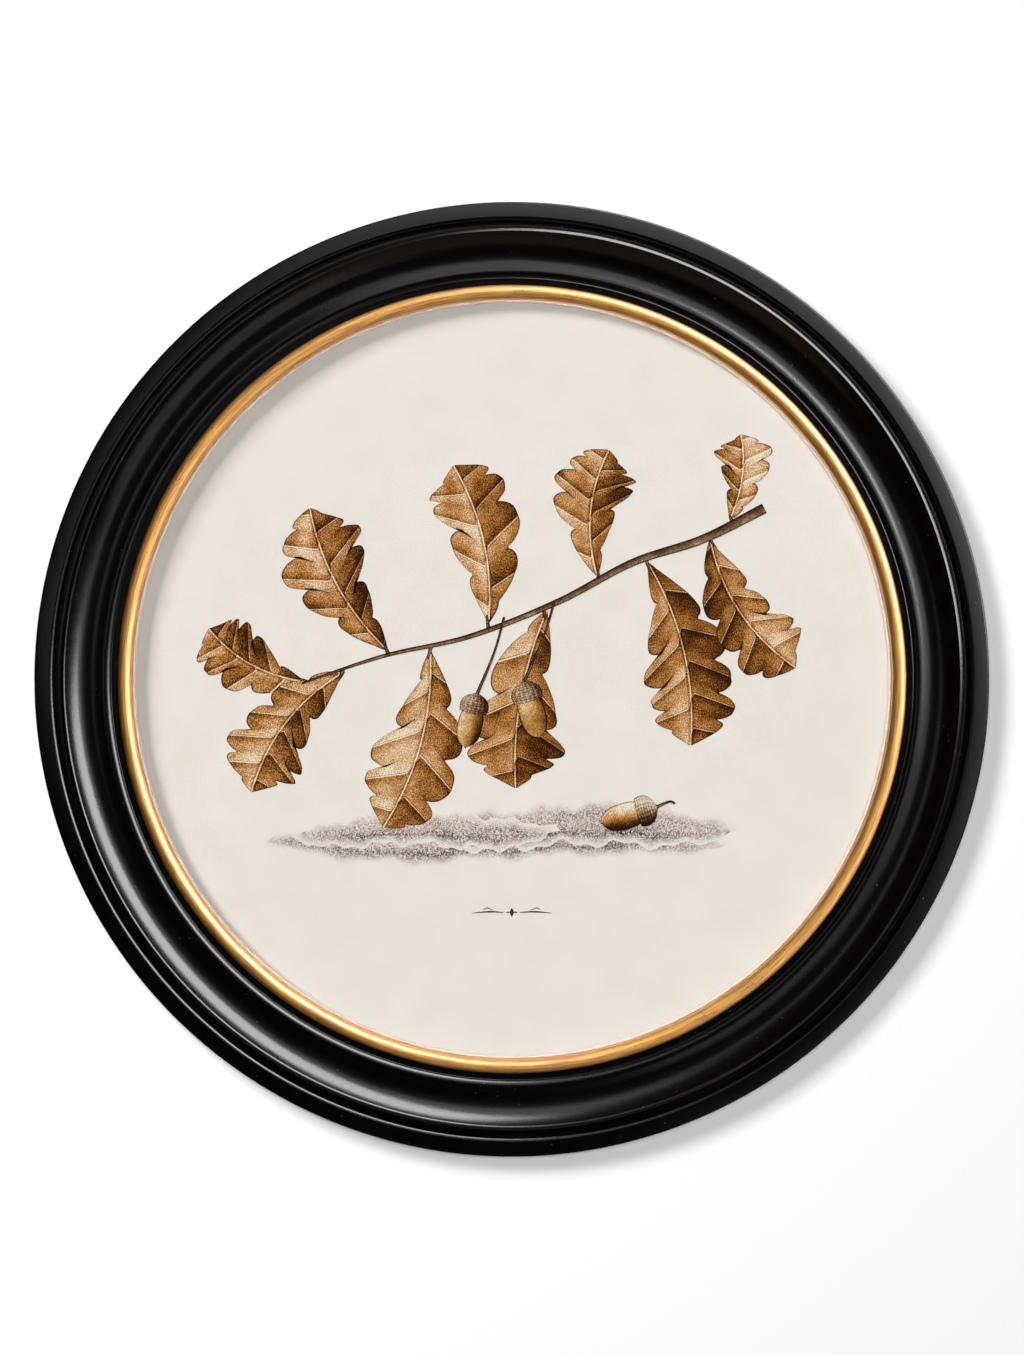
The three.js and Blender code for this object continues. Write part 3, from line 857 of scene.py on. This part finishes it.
# Diffuse lights give the level of paper, gesso, gilt and wall; glossy ones are the shapes that
# the lacquer and the gilt reflect. Columns: azimuth, off axis, distance, width, height, radiance.
paper_light = studio_light("paper_light", 145, 60, 6.0, 1.86, 1.86, 33, ("diffuse",))
front_fill = studio_light("front_fill", 15, 8, 1.4, 0.27, 0.27, 43, ("diffuse",))
wall_light = studio_light("wall_light", 140, 30, 2.0, 0.62, 0.62, 24, ("diffuse",))
wall_fill = studio_light("wall_fill", 60, 1, 2.6, 0.3, 0.3, 128, ("diffuse",))
softbox = studio_light("softbox", 47, 52, 3.2, 4.7, 1.5, 12.5, ("glossy",), roll=9)
window = studio_light("window", 52, 30, 2.4, 3.6, 0.9, 0.9, ("glossy",))
window_top = studio_light("window_top", 95, 31, 2.4, 1.0, 0.6, 0.5, ("glossy",))
window_right = studio_light("window_right", 358, 31, 2.4, 1.0, 0.6, 0.5, ("glossy",))
room = studio_light("room", 140, 19, 2.4, 1.4, 0.5, 0.5, ("glossy",))
room_low = studio_light("room_low", 315, 48, 2.4, 1.4, 1.4, 0.55, ("glossy",))
floor_glow = studio_light("floor_glow", 262, 62, 2.6, 3.6, 1.6, 0.2, ("glossy",))
floor_glow.data.color = (1.0, 0.74, 0.64)
gilt_key = studio_light("gilt_key", 35, 70, 2.4, 3.6, 1.6, 14.0, ("glossy",))
gilt_soft = studio_light("gilt_soft", 80, 45, 2.4, 2.0, 2.0, 2.5, ("glossy",))
gilt_low = studio_light("gilt_low", 318, 62, 2.4, 1.2, 1.2, 3.0, ("glossy",))
gilt_sun = studio_light("gilt_sun", 35, 61, 2.0, 1.0, 1.0, 14.0, ("diffuse",))
gilt_lower = studio_light("gilt_lower", 270, 55, 2.0, 1.0, 1.0, 2.5, ("diffuse",))
edge_light = studio_light("edge_light", 8, 52, 2.0, 1.0, 1.0, 6.5, ("diffuse",))
back_key = studio_light("back_key", 115, 138, 2.4, 1.4, 1.4, 8.0, ("diffuse", "glossy"))
back_fill = studio_light("back_fill", 310, 150, 2.6, 1.4, 1.4, 4.0, ("diffuse", "glossy"))
side_sheen = studio_light("side_sheen", 8, 104, 2.0, 0.9, 0.8, 4.0, ("glossy",))
floor_light = studio_light("floor_light", 90, 90, 2.4, 5.0, 5.0, 0.06, ("diffuse",))

# Each surface gets only its own lights. The print gets two, so that they are sampled evenly.
pieces = [o for o in bpy.context.scene.objects if o.type == "MESH" and o not in (wall, floor)]
glossy = [o for o in pieces if not o.name.startswith("print")]
for lamp in (paper_light, front_fill):
    only_lights(lamp, [o for o in pieces if o is not bead])
for lamp in (wall_light, wall_fill):
    only_lights(lamp, [wall])
for lamp in (gilt_key, gilt_soft, gilt_low, gilt_sun, gilt_lower):
    only_lights(lamp, [bead])
only_lights(edge_light, [sight_edge])
for lamp in (softbox, window, window_top, window_right, room, room_low, floor_glow, side_sheen,
             back_key, back_fill):
    only_lights(lamp, glossy)
only_lights(floor_light, [floor])

SKY_DIFFUSE, SKY_GLOSSY, SKY_SEEN = 0.08, 0.012, 0.86  # dim for the object, pale to the camera
world = bpy.data.worlds.new("studio")
bpy.context.scene.world = world
world.use_nodes = True
wt = world.node_tree
sky = wt.nodes["Background"]
path = node(wt, "ShaderNodeLightPath")
lit = node(wt, "ShaderNodeMix", {"data_type": "FLOAT", 2: SKY_DIFFUSE, 3: SKY_GLOSSY},
           _0=path.outputs["Is Glossy Ray"])
seen = node(wt, "ShaderNodeMix", {"data_type": "FLOAT", 3: SKY_SEEN},
            _0=path.outputs["Is Camera Ray"], _2=lit.outputs[0])
wt.links.new(seen.outputs[0], sky.inputs["Strength"])
sky.inputs["Color"].default_value = (1, 1, 1, 1)

bpy.context.scene.view_settings.view_transform = "Standard"
